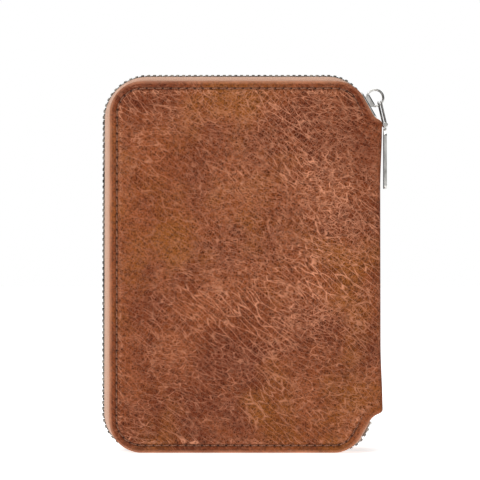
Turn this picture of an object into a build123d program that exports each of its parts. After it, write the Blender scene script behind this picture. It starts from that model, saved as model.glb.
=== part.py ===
"""A passport-size zip around wallet, closed, standing on its lower edge.

+X points from the fore edge to the spine and +Z up. The front cover faces -Y. All lengths are in
millimetres. In the comments u is the distance from the leather's fore edge, towards the spine.
"""
from build123d import *
import os
from math import cos, radians, sin, tan

# The closed leather
cover_width = 108.0  # fore edge to the spine's outer face
cover_height = 148.0
thickness = 24.0  # front face to back face
leather = 1.25
corner_radius = 13.0  # fore edge corners
nose_radius = 12.0  # where the top edge turns into the slope
slope_angle = 60.0  # of the cut-off corners beside the spine, from level
slope_drop = 14.6  # from the top edge down to the slope's end at the fold
spine_drop = 16.5  # from the top edge down to the end of the spine
rim_width = 2.55  # depth of each cover's turned edge
edge_round = 1.7

# The folds between covers and spine
fold_radius = 2.0  # outer radius of the leather round a fold
fold_sweep = 150.0  # how far round the fold the spine's leather goes
fold_gap = 0.2  # between a cover and the turning spine

# Layers inside a cover
board_clearance = 0.05
tape = 0.5
lining = 0.5
lining_inset = 4.0  # lining's edge, in from the middle of the chain
layer_gap = 0.1
pocket = 0.5
inner_end_gap = 0.3  # inner layers stop this much short of the cover's leather
spine_lining_margin = 1.0

# The zip
zip_proud = 2.2  # middle of the chain outside the leather, along the top and fore edge
bottom_sink = 1.3  # middle of the chain above the leather's lower edge
slope_proud = 1.2  # middle of the chain outside the upper slope
low_slope_proud = 1.8  # middle of the chain outside the lower slope
top_ease = 4.0  # the chain's corner radii beyond the leather's
bottom_ease = 1.0
heel_ease = -2.0
tooth_pitch = 2.35
tooth_height = 2.3
tooth_head = 0.95
tooth_foot = 1.4
tooth_overlap = 0.9  # how far a tooth reaches past the middle
tooth_neck = 1.2
tooth_root = 2.9
tape_bend = 2.2  # radius from the chain's band into the seam
tape_depth = 9.7  # from the middle of the chain to the tape's sewn edge
end_gap = 0.4  # between a cover's chain and the end that stays on the spine
low_end_reach = 0.5  # the zip's lower end, past the covers' leather
low_end_length = 6.6
low_stop_length = 2.2

# The slider
slider_rest = 5.5  # its middle, past the end of the chain's nose arc
slider_length = 12.0
nose_wall = 0.95  # plates beyond the channel, each side
rear_wall = 0.55
slider_plate = 0.8
slider_corner = 1.3
slider_edge = 0.35
tooth_gap = 0.1  # above and below the teeth in the channel
tooth_side_gap = 0.45
tape_gap = 0.3  # above and below the tape in the slot
divider_start = 2.0
divider_width = 2.2
divider_setback = 0.2
tape_margin = 0.9  # tape outside the closed slider, each side
nose_margin = 0.1  # the slider's nose beyond the end of the tape
stop_length = 1.7
stop_width = 1.0
stop_height = 1.4
stop_setback = 0.3

# The crown and the pull
ring_radius = 3.3
ring_wire = 0.9
ring_offset = -1.4  # ring's middle along the slider
running_gap = 0.05
crown_length = 4.8
crown_cheek = 0.6
crown_side_gap = 0.6  # between a cheek and the ring
ring_play = 0.3  # above the ring, under the bridge
crown_bridge = 1.8
crown_roof = 1.0
crown_round = 0.5
link_place = -52.6  # where the link holds the ring, from +X
link_lean = 13.0  # from hanging straight down
link_length = 8.6
link_width = 1.8
link_strip = 0.5
link_play = 0.1  # between its bend and the ring
link_bend = 0.98  # how round its bend is
link_foot_flat = 0.1
pin_radius = 0.4
pin_head_radius = 0.85
pin_head = 0.3
blade_eye_radius = 1.1
blade_eye_width = 1.2
blade_side_gap = 0.1  # between its eye and the link's legs
blade_neck = 0.5
blade_neck_round = 0.5
blade_shoulder_round = 1.5
blade_corner = 1.2
blade_length = 26.0
blade_width = 5.0
blade_thickness = 1.1

# Stitching
stitch_inset = 3.0
stitch_pitch = 3.2
stitch_length = 2.3
stitch_width = 0.5
groove_width = 0.8
groove_depth = 0.3
stitch_height = 0.25

# Pockets
pocket_fore = 7.0
pocket_end_margin = 5.5
pocket_bottom = 8.0
pocket_top_margin = 9.0
pocket_corner = 2.5
card_rows = 5
card_step = 13.0
card_first_top = 58.0  # top of the lowest, foremost row
passport_fore = 36.0  # free edge of the passport pocket
slip_drop = 12.0  # how far the back slip pocket's mouth is below the lining's top

# Worked out from the sizes above
tiny = 0.01
slope = radians(slope_angle)
half_thickness = thickness / 2
fold_u = cover_width - 2 * fold_radius
fold_axis_u = cover_width - fold_radius
fold_axis_y = half_thickness - fold_radius
panel_end_u = fold_axis_u - fold_radius - fold_gap
inner_end_u = panel_end_u - inner_end_gap
seam_y = half_thickness - rim_width  # outer face of the tape's sewn edge
lining_y = seam_y - tape
zip_reach = zip_proud + tooth_height / 2
chain_radius_nose = nose_radius + zip_proud
chain_radius_top = corner_radius + top_ease
chain_radius_bottom = corner_radius + bottom_ease
chain_radius_heel = nose_radius + heel_ease
chain_radii = [chain_radius_nose, chain_radius_top, chain_radius_bottom, chain_radius_heel]
low_end_u = panel_end_u + low_end_reach
channel_height = tooth_height + 2 * tooth_gap
channel_width = 2 * (tooth_root + tooth_side_gap)
slider_width = channel_width + 2 * nose_wall
slider_rear_width = channel_width + 2 * rear_wall
slider_tape_reach = slider_width / 2 + tape_margin
tape_slot = tape + 2 * tape_gap
crown_inner = ring_wire + 2 * crown_side_gap
crown_outer = crown_inner + 2 * crown_cheek
crown_height = running_gap + ring_wire + ring_play + crown_roof
link_gap = blade_eye_width + 2 * blade_side_gap  # between its two legs
link_rise = ring_wire / 2 + link_play  # middle of its bend, beyond the middle of the ring's wire
along = Vector(cos(slope), 0, -sin(slope))  # down the upper slope
outward = Vector(sin(slope), 0, cos(slope))  # out of the upper slope
channel_half = channel_height / 2
plate_top = channel_half + slider_plate
wire = ring_wire / 2
ring_height = plate_top + running_gap + wire + ring_radius


def slope_u(proud, level):
    """Where the slope, moved out by proud, meets the level that is this far below the top edge."""
    return fold_u + (proud - (slope_drop - level) * cos(slope)) / sin(slope)


def slope_level(proud, u):
    """How far below the top edge the slope, moved out by proud, passes u."""
    return slope_drop + ((u - fold_u) * sin(slope) - proud) / cos(slope)


nose_corner = Vector(slope_u(slope_proud, -zip_proud), 0, cover_height + zip_proud)
slider_middle = nose_corner + along * (chain_radius_nose * tan(slope / 2) + slider_rest)
ring_middle = slider_middle + along * ring_offset + outward * ring_height
link_top = ring_middle + Vector(cos(radians(link_place)), 0, sin(radians(link_place))) * ring_radius
link_down = Vector(sin(radians(link_lean)), 0, -cos(radians(link_lean)))
pull_pin = link_top + link_down * link_length
puller_reach = pull_pin.X + blade_eye_radius - cover_width
fore_edge = -(cover_width + puller_reach - zip_reach) / 2  # puts the whole object's middle at x = 0


def at(u, z):
    """The point u from the fore edge and z above the lower edge, halfway through the wallet."""
    return Vector(fore_edge + u, 0, z)


def placed(point):
    """A point worked out with u in place of x, moved to where it lies."""
    return point + Vector(fore_edge, 0, 0)


# Outlines

def corner_arc(before, corner, after, radius):
    """Start, middle and end of the arc that rounds a corner."""
    back = (before - corner).normalized()
    on = (after - corner).normalized()
    half = radians(back.get_angle(on)) / 2
    reach = radius / tan(half)
    middle = corner + (back + on).normalized() * (radius / sin(half) - radius)
    return [corner + back * reach, middle, corner + on * reach]


def rounded(corners, radii, close=True):
    """A wire through the corners, each rounded by its radius, or sharp where that is 0."""
    count = len(corners)
    stops = [
        corner_arc(corners[i - 1], corners[i], corners[(i + 1) % count], radii[i])
        if radii[i] else [corners[i]]
        for i in range(count)
    ]
    edges = []
    for i, stop in enumerate(stops):
        if len(stop) == 3:
            edges.append(Edge.make_three_point_arc(*stop))
        if close or i < count - 1:
            edges.append(Edge.make_line(stop[-1], stops[(i + 1) % count][0]))
    return Wire(edges)


def sheet(outline, near, far):
    """A flat piece with this outline in the XZ plane, from y = near to y = far."""
    face = Face(outline).moved(Location((0, near, 0)))
    return Solid.extrude(face, Vector(0, far - near, 0))


def cover_outline(inset, end_u=panel_end_u):
    """A cover's outline set in all round, cut off straight at end_u beside the spine."""
    end = slope_level(-inset, end_u)
    corner_u = slope_u(-inset, inset)
    top = cover_height - inset
    corners = [
        at(end_u, cover_height - end), at(corner_u, top), at(inset, top),
        at(inset, inset), at(corner_u, inset), at(end_u, end),
    ]
    nose = nose_radius - inset
    fore = corner_radius - inset
    return rounded(corners, [0, nose, fore, fore, nose, 0])


def inside_chain(inset, end_u):
    """The outline inside the chain's path, set in from the middle of the chain."""
    top = cover_height + zip_proud - inset
    bottom = bottom_sink + inset
    heel_proud = low_slope_proud - inset
    corners = [
        at(end_u, cover_height - slope_level(slope_proud - inset, end_u)),
        at(slope_u(slope_proud - inset, cover_height - top), top),
        at(inset - zip_proud, top),
        at(inset - zip_proud, bottom),
        at(slope_u(heel_proud, bottom), bottom),
        at(end_u, slope_level(heel_proud, end_u)),
    ]
    return rounded(corners, [0, *(radius - inset for radius in chain_radii), 0])


def panel(fore_u, end_u, bottom, top, radius=pocket_corner):
    """A rounded rectangle for a pocket."""
    corners = [at(end_u, top), at(fore_u, top), at(fore_u, bottom), at(end_u, bottom)]
    return rounded(corners, [radius] * 4)


# The chain's path, from the top end, over the top, down the fore edge and back along the bottom

def chain_corners():
    return [
        placed(slider_middle + along * (slider_length / 2 - nose_margin)),
        placed(nose_corner),
        at(-zip_proud, cover_height + zip_proud),
        at(-zip_proud, bottom_sink),
        at(slope_u(low_slope_proud, bottom_sink), bottom_sink),
        at(low_end_u, slope_level(low_slope_proud, low_end_u)),
    ]


chain = rounded(chain_corners(), [0, *chain_radii, 0], close=False)
top_end_length = slider_length - nose_margin + end_gap
slider_plane = Plane(placed(slider_middle), x_dir=along, z_dir=outward)
low_along = Vector(cos(slope), 0, sin(slope))
low_plane = Plane(
    chain_corners()[-1], x_dir=low_along, z_dir=Vector(sin(slope), 0, -cos(slope))
)


def on_slider(shape):
    """Moves a shape from the slider's own axes, x towards its nose and z outward, into place."""
    return shape.moved(slider_plane.location)


def block(x0, x1, y0, y1, z0, z1):
    """A box between two corners."""
    size = Solid.make_box(x1 - x0, y1 - y0, z1 - z0)
    return size.moved(Location((x0, y0, z0)))


def mirrored(shapes):
    """The back's copy of pieces on the front."""
    return [s.mirror(Plane.XZ) for s in shapes]


# Covers

def stitch_groove():
    outer = sheet(cover_outline(stitch_inset - groove_width / 2), -half_thickness,
                  groove_depth - half_thickness)
    inner = sheet(cover_outline(stitch_inset + groove_width / 2), -half_thickness,
                  groove_depth - half_thickness)
    return outer - inner


def cover_leather():
    """The front cover's skin with its edges turned in: a shallow tray, open to the inside."""
    skin = sheet(cover_outline(0), -half_thickness, -seam_y)
    face_edges = skin.faces().sort_by(Axis.Y)[0].edges()
    fold_x = fore_edge + panel_end_u
    soft = [e for e in face_edges if abs(e.center().X - fold_x) > tiny]
    skin = skin.fillet(edge_round, soft)
    hollow = sheet(
        cover_outline(leather, panel_end_u - leather), leather - half_thickness, -seam_y
    )
    return [skin - hollow - stitch_groove()]


def cover_board():
    inset = leather + board_clearance
    outline = cover_outline(inset, panel_end_u - inset)
    return [sheet(outline, leather - half_thickness, -seam_y)]


def cover_lining():
    return [sheet(inside_chain(lining_inset, inner_end_u), -lining_y, lining - lining_y)]


def stitches():
    """Separate stitches in the groove, from one slope round to the other."""
    outline = cover_outline(stitch_inset)
    end_x = fore_edge + panel_end_u
    line = Wire([e for e in outline.edges() if abs(e.center().X - end_x) > tiny])
    count = int(line.length / stitch_pitch)
    start = (line.length - (count - 1) * stitch_pitch) / 2
    made = []
    for i in range(count):
        place = start + i * stitch_pitch
        point = line.position_at(place, position_mode=PositionMode.LENGTH)
        heading = line.tangent_at(place, position_mode=PositionMode.LENGTH)
        spot = Plane(point, x_dir=heading, z_dir=(0, -1, 0))
        floor = half_thickness - groove_depth
        stitch = block(-stitch_length / 2, stitch_length / 2, -stitch_width / 2, stitch_width / 2,
                       floor, floor + stitch_height)
        made.append(stitch.moved(spot.location))
    return made


def spine_leather():
    """The hide round both folds and across the spine, cut to the sloping ends."""
    x = fore_edge + fold_axis_u
    y = fold_axis_y
    inner = fold_radius - leather
    back = radians(fold_sweep)

    def on_fold(radius, angle, side):
        return Vector(x + radius * cos(angle), side * (y + radius * sin(angle)), 0)

    edges = []
    for radius in (fold_radius, inner):
        edges.append(Edge.make_line(on_fold(radius, 0, -1), on_fold(radius, 0, 1)))
        for side in (-1, 1):
            edges.append(Edge.make_three_point_arc(
                on_fold(radius, 0, side), on_fold(radius, back / 2, side),
                on_fold(radius, back, side)))
    for side in (-1, 1):
        edges.append(Edge.make_line(on_fold(fold_radius, back, side), on_fold(inner, back, side)))
    strip = Solid.extrude(Face(Wire(edges)), Vector(0, 0, cover_height))
    ends = rounded(
        [
            at(fold_u - fold_gap, cover_height - slope_drop), at(cover_width, cover_height - spine_drop),
            at(cover_width, spine_drop), at(fold_u - fold_gap, slope_drop),
        ],
        [0] * 4,
    )
    return [strip & sheet(ends, -half_thickness, half_thickness)]


def spine_lining():
    face_x = fore_edge + cover_width - leather - layer_gap
    reach = fold_axis_y - fold_radius + leather
    margin = spine_drop + spine_lining_margin
    return [block(face_x - lining, face_x, -reach, reach, margin, cover_height - margin)]


# Pockets

def front_slip_pocket():
    near = lining - lining_y + layer_gap
    top = cover_height - pocket_top_margin
    outline = panel(pocket_fore, cover_width - pocket_fore - pocket_end_margin, pocket_bottom, top)
    return [sheet(outline, near, near + pocket)]


def card_slot(row):
    """Row 1 is the tallest and lies deepest; each next row is one step shorter, in front of it."""
    near = lining - lining_y + layer_gap + row * (pocket + layer_gap)
    top = card_first_top + (card_rows - row) * card_step
    outline = panel(pocket_fore, cover_width - pocket_fore - pocket_end_margin, pocket_bottom, top)
    return [sheet(outline, near, near + pocket)]


def back_slip_pocket():
    far = lining_y - lining - layer_gap
    top = cover_height - pocket_top_margin - slip_drop
    outline = panel(pocket_fore, cover_width - pocket_fore - pocket_end_margin, pocket_bottom, top)
    return [sheet(outline, far - pocket, far)]


def passport_pocket():
    """Opens towards the fore edge."""
    far = lining_y - lining - 2 * layer_gap - pocket
    top = cover_height - pocket_top_margin
    outline = panel(passport_fore, cover_width - pocket_fore - pocket_end_margin, pocket_bottom, top)
    return [sheet(outline, far - pocket, far)]


# The zip

def cover_tape():
    """The front tape: a band beside the chain, bent into the seam inside the cover's edge."""
    start = chain.position_at(0)

    def across(out, y):
        return start + outward * out + Vector(0, -y, 0)

    half = tape / 2
    section = rounded(
        [
            across(half, tooth_root), across(half, seam_y), across(-tape_depth, seam_y),
            across(-tape_depth, seam_y - tape), across(-half, seam_y - tape), across(-half, tooth_root),
        ],
        [0, tape_bend + half, 0, 0, tape_bend - half, 0],
    )
    whole = Solid.sweep(Face(section), chain)
    near = 2 * tape_depth
    far = cover_height
    top_cut = on_slider(block(-slider_length / 2 - end_gap, near, -near, near, -near, near))
    low_cut = block(-low_end_length - end_gap, near, -near, near, -near, near)
    spine_cut = block(fore_edge + inner_end_u, far, -far, far, 0, far)
    return [whole - top_cut - low_cut.moved(low_plane.location) - spine_cut]


def tooth(side):
    """One tooth: local x along the chain, z outward, and y from the middle of the chain to its root."""
    head = block(-tooth_head / 2, tooth_head / 2, -tooth_overlap, tooth_neck,
                 -tooth_height / 2, tooth_height / 2)
    foot = block(-tooth_foot / 2, tooth_foot / 2, tooth_neck, tooth_root,
                 -tooth_height / 2, tooth_height / 2)
    whole = head + foot
    return whole if side > 0 else whole.mirror(Plane.XZ)


def chain_teeth(side, start, end):
    """Teeth of one side, 1 for the front and -1 for the back, between two lengths along the chain."""
    pattern = tooth(side)
    first = tooth_pitch if side > 0 else tooth_pitch / 2
    made = []
    for i in range(int(chain.length / tooth_pitch)):
        place = first + i * tooth_pitch
        if not start + tooth_foot / 2 <= place <= end - tooth_foot / 2:
            continue
        point = chain.position_at(place, position_mode=PositionMode.LENGTH)
        heading = chain.tangent_at(place, position_mode=PositionMode.LENGTH)
        out = Vector(heading.Z, 0, -heading.X)
        made.append(pattern.moved(Plane(point, x_dir=heading, z_dir=out).location))
    return made


def top_end_tapes():
    """The two tapes inside the closed slider, which stay with the spine."""
    half = tape / 2
    return [
        on_slider(block(-slider_length / 2, slider_length / 2 - nose_margin, *reach, -half, half))
        for reach in ((-slider_tape_reach, -tooth_root), (tooth_root, slider_tape_reach))
    ]


def top_end_teeth():
    start = slider_length / 2 - divider_start
    return [t for side in (1, -1) for t in chain_teeth(side, start, slider_length)]


def top_stops():
    end = slider_length / 2 - stop_setback
    half = stop_height / 2
    inner = tooth_root - stop_width
    return [
        on_slider(block(end - stop_length, end, *reach, -half, half))
        for reach in ((-tooth_root, -inner), (inner, tooth_root))
    ]


def low_end_tapes():
    half = tape / 2
    return [
        block(-low_end_length, 0, *reach, -half, half).moved(low_plane.location)
        for reach in ((-slider_tape_reach, -tooth_root), (tooth_root, slider_tape_reach))
    ]


def low_end_teeth():
    end = chain.length - low_stop_length
    start = chain.length - low_end_length
    return [t for side in (1, -1) for t in chain_teeth(side, start, end)]


def bottom_stop():
    """A box that closes both tapes together at the lower end."""
    half = tooth_height / 2
    reach = tooth_root
    return [block(-low_stop_length, 0, -reach, reach, -half, half).moved(low_plane.location)]


# The slider and its pull, in the slider's own axes

def slider_outline(z):
    length = slider_length / 2
    nose = slider_width / 2
    rear = slider_rear_width / 2
    corners = [Vector(length, -nose, z), Vector(length, nose, z), Vector(-length, rear, z),
               Vector(-length, -rear, z)]
    return Face(rounded(corners, [slider_corner] * 4))


def slider_body():
    """Two plates with flanges, joined by the divider at the nose."""
    length = slider_length / 2
    whole = Solid.extrude(slider_outline(-plate_top), Vector(0, 0, 2 * plate_top))
    whole = whole.fillet(slider_edge, whole.faces().sort_by(Axis.Z)[-1].edges())
    half_width = channel_width / 2
    channel = block(-length, length, -half_width, half_width, -channel_half, channel_half)
    slot = block(-length, length, -slider_width, slider_width, -tape_slot / 2, tape_slot / 2)
    half = divider_width / 2
    end = length - divider_setback
    middle = (divider_start + length) / 2
    places = [(divider_start, 0), (middle, half), (end, half / 2), (end, -half / 2), (middle, -half)]
    wedge = rounded([Vector(x, y, -channel_half) for x, y in places], [0] * len(places))
    divider = Solid.extrude(Face(wedge), Vector(0, 0, channel_height))
    return [on_slider(whole - channel - slot + divider)]


def slider_crown():
    """Two cheeks and a bridge that keep the ring on the slider."""
    rear = ring_offset - crown_length / 2
    nose = ring_offset + crown_length / 2
    top = plate_top + crown_height
    whole = block(rear, nose, -crown_outer / 2, crown_outer / 2, plate_top, top)
    lengthwise = [e for e in whole.edges().filter_by(Axis.X) if e.center().Z > top - tiny]
    whole = whole.fillet(crown_round, lengthwise)
    half = crown_inner / 2
    whole = whole - block(rear, nose, -half, half, plate_top, top)
    bridge = block(ring_offset - crown_bridge / 2, ring_offset + crown_bridge / 2, -half, half,
                   top - crown_roof, top)
    return [on_slider(whole + bridge)]


def pull_ring():
    torus = Solid.make_torus(ring_radius, wire)
    return [torus.moved(Plane(placed(ring_middle), z_dir=(0, -1, 0)).location)]


link_plane = Plane(placed(link_top), x_dir=Vector(0, 1, 0).cross(-link_down), z_dir=-link_down)


def pull_link():
    """A strip folded over the ring, with both legs on the pin."""
    outer = link_gap / 2 + link_strip
    inner = link_gap / 2
    low = -link_length - link_width / 2
    side = -link_width / 2

    def fold(reach, floor):
        corners = [Vector(side, -reach, link_rise + reach), Vector(side, reach, link_rise + reach),
                   Vector(side, reach, floor), Vector(side, -reach, floor)]
        face = Face(rounded(corners, [reach * link_bend, reach * link_bend, 0, 0]))
        return Solid.extrude(face, Vector(link_width, 0, 0))

    strap = fold(outer, low) - fold(inner, low - 1)
    feet = [e for e in strap.edges().filter_by(Axis.Y) if e.center().Z < low + tiny]
    strap = strap.fillet(link_width / 2 - link_foot_flat, feet)
    hole = Solid.make_cylinder(pin_radius + running_gap, 4 * outer).moved(
        Plane((0, -2 * outer, -link_length), z_dir=(0, 1, 0)).location)
    return [(strap - hole).moved(link_plane.location)]


def pull_pin_piece():
    """A rivet through the link's legs, with a head against each."""
    reach = link_gap / 2 + link_strip
    far = reach + pin_head
    centre = placed(pull_pin)

    def disc(radius, y0, y1):
        place = Plane(centre + Vector(0, y0, 0), z_dir=(0, 1, 0))
        return Solid.make_cylinder(radius, y1 - y0).moved(place.location)

    heads = disc(pin_head_radius, reach, far) + disc(pin_head_radius, -far, -reach)
    return [disc(pin_radius, -reach, reach) + heads]


def pull_blade():
    """A flat bar with an eye on the pin."""
    centre = placed(pull_pin)
    neck = blade_eye_width / 2
    half = blade_width / 2
    shoulder = blade_eye_radius + blade_neck
    side = -blade_thickness / 2
    profile = [(-neck, 0), (-neck, -shoulder), (-half, -shoulder - half), (-half, -blade_length),
               (half, -blade_length), (half, -shoulder - half), (neck, -shoulder), (neck, 0)]
    corners = [centre + Vector(side, y, z) for y, z in profile]
    one_side = [0, blade_neck_round, blade_shoulder_round, blade_corner]
    outline = rounded(corners, one_side + one_side[::-1])
    bar = Solid.extrude(Face(outline), Vector(blade_thickness, 0, 0))
    eye_place = Plane(centre - Vector(0, neck, 0), z_dir=(0, 1, 0)).location
    eye = Solid.make_cylinder(blade_eye_radius, blade_eye_width).moved(eye_place)
    bore = Solid.make_cylinder(pin_radius + running_gap, blade_eye_width).moved(eye_place)
    return [bar + eye - bore]


def write(name, solids):
    """One STEP file for a piece, or for a group of like pieces."""
    whole = []
    for shape in solids:
        whole += shape.solids()
    export_step(whole[0] if len(whole) == 1 else Compound(children=whole), f"parts/{name}.step")


def main():
    os.makedirs("parts", exist_ok=True)
    cover_end = chain.length - low_end_length - end_gap
    front = {
        "leather": cover_leather(), "board": cover_board(), "lining": cover_lining(),
        "stitching": stitches(), "zip_tape": cover_tape(),
    }
    for name, solids in front.items():
        write(f"front_{name}", solids)
        write(f"back_{name}", mirrored(solids))
    write("front_teeth", chain_teeth(1, top_end_length, cover_end))
    write("back_teeth", chain_teeth(-1, top_end_length, cover_end))
    write("front_slip_pocket", front_slip_pocket())
    for row in range(1, card_rows + 1):
        write(f"card_slot_{row}", card_slot(row))
    write("back_slip_pocket", back_slip_pocket())
    write("passport_pocket", passport_pocket())
    write("spine_leather", spine_leather())
    write("spine_lining", spine_lining())
    write("top_end_tapes", top_end_tapes())
    write("top_end_teeth", top_end_teeth())
    write("top_stops", top_stops())
    write("bottom_end_tapes", low_end_tapes())
    write("bottom_end_teeth", low_end_teeth())
    write("bottom_stop", bottom_stop())
    write("slider_body", slider_body())
    write("slider_crown", slider_crown())
    write("pull_ring", pull_ring())
    write("pull_link", pull_link())
    write("pull_pin", pull_pin_piece())
    write("pull_blade", pull_blade())


main()
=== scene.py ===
import math
import random

import bpy
import numpy as np
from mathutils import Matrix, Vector, noise
from mathutils.geometry import delaunay_2d_cdt


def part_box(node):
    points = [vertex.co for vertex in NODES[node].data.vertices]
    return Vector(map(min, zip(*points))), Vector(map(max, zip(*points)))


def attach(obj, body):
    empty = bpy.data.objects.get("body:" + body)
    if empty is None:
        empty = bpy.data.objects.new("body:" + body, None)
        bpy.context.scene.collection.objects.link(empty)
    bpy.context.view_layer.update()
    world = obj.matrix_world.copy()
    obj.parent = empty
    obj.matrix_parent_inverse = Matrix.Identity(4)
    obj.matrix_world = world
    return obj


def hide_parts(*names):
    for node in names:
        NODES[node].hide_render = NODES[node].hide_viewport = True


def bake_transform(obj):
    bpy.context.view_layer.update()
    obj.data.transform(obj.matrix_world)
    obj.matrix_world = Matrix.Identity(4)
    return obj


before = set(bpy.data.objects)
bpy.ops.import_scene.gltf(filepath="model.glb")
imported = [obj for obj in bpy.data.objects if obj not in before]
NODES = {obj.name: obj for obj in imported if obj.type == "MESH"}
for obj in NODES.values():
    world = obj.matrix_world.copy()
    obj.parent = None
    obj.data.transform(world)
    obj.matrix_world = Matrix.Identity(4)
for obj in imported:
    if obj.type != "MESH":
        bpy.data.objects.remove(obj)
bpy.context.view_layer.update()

# Lengths are in millimetres until a mesh is made. s runs along the hide from the fore edge, over the
# cover and round the fold to the middle of the spine; z is the height.
MM = 0.001
RNG = random.Random(11)

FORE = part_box("front_leather")[0].x / MM
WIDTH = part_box("spine_leather")[1].x / MM - FORE
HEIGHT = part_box("front_leather")[1].z / MM
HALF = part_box("back_leather")[1].y / MM

FOLD_R = 2.0
FOLD_S = WIDTH - FOLD_R
ARC = FOLD_R * math.pi / 2
SPINE_S = FOLD_S + ARC + HALF - FOLD_R
SLOPE = math.radians(60)
SLOPE_U, SLOPE_DROP, SPINE_DROP = 104.0, 14.6, 16.5  # foot of the slope, and the spine's shortfall
NOSE_U = SLOPE_U - SLOPE_DROP / math.tan(SLOPE)
NOSE_EASE, FOOT_EASE, HEEL_EASE = 2.0, 0.9, 0.4  # how far the soft hide bulges past the CAD's corners
CORNER_R, NOSE_R, HEEL_R = 13.0, 12.0, 11.0
FLARE = 0.8  # the fold's ends curl outward

RIM = 2.55
SKIN = 1.25
RIM_WIDTH = 4.6  # the hide's edge is built of rings this far in, and the rest is a triangulated sheet
BEAD, SPINE_BEAD, TURN_R = 1.0, 0.55, 0.42
VALLEY = 0.20
GRID = 0.8
STITCH_INSET = 3.0
STITCH_PITCH = 3.2
SEWN_END = 101.8

PROUD, SLOPE_PROUD, HEEL_PROUD, FOOT_PROUD = 2.2, 1.2, 1.8, -1.3  # the teeth's middle outside the leather
SLIDER_REST, CHAIN_START = 5.5, 5.9
HEEL_U = 104.3
TOP_LENGTH, LOW_LENGTH, END_GAP = 11.9, 6.6, 0.4
PITCH = 2.35
ROOT = 2.9  # the teeth's roots, from the middle plane
SEAM_Y = HALF - RIM
TAPE_HALF, TAPE_BEND, TAPE_FALL = 0.25, 2.2, 0.9
SLOT_Y, SIDE_Y = 5.2, 6.2  # the end tapes reach this far, and the covers' tapes start here beside them


# Paths

def rounded(corners, radii, step):
    """Points along the path through the corners, each rounded by its radius."""
    corners = [np.array(c, float) for c in corners]
    points = [corners[0]]
    for before, here, after, radius in zip(corners, corners[1:], corners[2:], radii):
        back = (before - here) / np.linalg.norm(before - here)
        on = (after - here) / np.linalg.norm(after - here)
        half = math.acos(np.clip(back @ on, -1, 1)) / 2
        reach = radius / math.tan(half)
        middle = here + (back + on) / np.linalg.norm(back + on) * radius / math.sin(half)
        start, end = here + back * reach - middle, here + on * reach - middle
        turn = math.atan2(start[0] * end[1] - start[1] * end[0], start @ end)
        count = max(3, int(abs(turn) * radius / 0.1))
        for i in range(count + 1):
            a = turn * i / count
            c, s = math.cos(a), math.sin(a)
            points.append(middle + np.array([c * start[0] - s * start[1], s * start[0] + c * start[1]]))
    points.append(corners[-1])
    return resampled(np.array(points), step)


def lengths(points):
    """Distance along the path to each of its points."""
    return np.concatenate([[0], np.cumsum(np.linalg.norm(np.diff(points, axis=0), axis=1))])


def resampled(points, step):
    """The same path with evenly spaced points."""
    run = lengths(points)
    places = np.linspace(0, run[-1], max(2, int(round(run[-1] / step)) + 1))
    return np.stack([np.interp(places, run, points[:, k]) for k in range(points.shape[1])], axis=1)


def tangents(points):
    """Unit direction of the path at each of its points."""
    t = np.gradient(points, axis=0)
    return t / np.linalg.norm(t, axis=1)[:, None]


def inset(points, distance):
    """The path moved to its left, which is inside for the paths here."""
    t = tangents(points)
    return points + np.stack([-t[:, 1], t[:, 0]], axis=1) * np.asarray(distance).reshape(-1, 1)


def smoothstep(a, b, v):
    t = np.clip((np.asarray(v, float) - a) / (b - a), 0, 1)
    return t * t * (3 - 2 * t)


def skin_outline(step=0.4):
    """The hide's free edge in (s, z): from the middle of the spine's top round to the middle of its foot."""
    low, high = SPINE_DROP, HEIGHT - SPINE_DROP
    upper = [(SPINE_S, high), (FOLD_S + ARC, high), (SLOPE_U + FOOT_EASE, HEIGHT - SLOPE_DROP),
             (NOSE_U + NOSE_EASE, HEIGHT), (0, HEIGHT)]
    lower = [(0, 0), (NOSE_U + HEEL_EASE, 0), (SLOPE_U, SLOPE_DROP), (FOLD_S + ARC, low), (SPINE_S, low)]
    return rounded(upper + lower, [3.0, 3.5, NOSE_R, CORNER_R, CORNER_R, HEEL_R, 5.5, 3.0], step)


def on_skin(s, z, depth):
    """Places on the front half of the hide, this far below its outer face."""
    s, z, depth = (np.asarray(v, float) for v in (s, z, depth))
    turn = np.clip((s - FOLD_S) / FOLD_R, 0, math.pi / 2)
    past = np.maximum(s - FOLD_S - ARC, 0)
    radius = FOLD_R - depth
    flare = FLARE * smoothstep(30, 58, np.abs(z - HEIGHT / 2)) * smoothstep(92, 106, s)
    x = np.minimum(s, FOLD_S) + radius * np.sin(turn) + flare
    y = -(HALF - FOLD_R) - radius * np.cos(turn) + past
    return np.stack([x + FORE, y, z], axis=-1)


def noise_at(points, scale, seed):
    """Smooth noise, -1 to 1, with swells about scale across."""
    return np.array([noise.noise(Vector((p[0] / scale, p[1] / scale, seed))) for p in points])


# Meshes

def build(name, verts, faces, material, smooth=True, attributes=None):
    """An object from vertices in millimetres, with a value per vertex for each attribute."""
    mesh = bpy.data.meshes.new(name)
    mesh.from_pydata([tuple(v) for v in np.asarray(verts) * MM], [], [tuple(f) for f in faces])
    mesh.validate()
    mesh.update()
    for key, values in (attributes or {}).items():
        layer = mesh.attributes.new(key, "FLOAT", "POINT")
        layer.data.foreach_set("value", np.asarray(values, np.float32))
    if smooth:
        mesh.polygons.foreach_set("use_smooth", [True] * len(mesh.polygons))
    obj = bpy.data.objects.new(name, mesh)
    bpy.context.scene.collection.objects.link(obj)
    obj.data.materials.append(material)
    return obj


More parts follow.
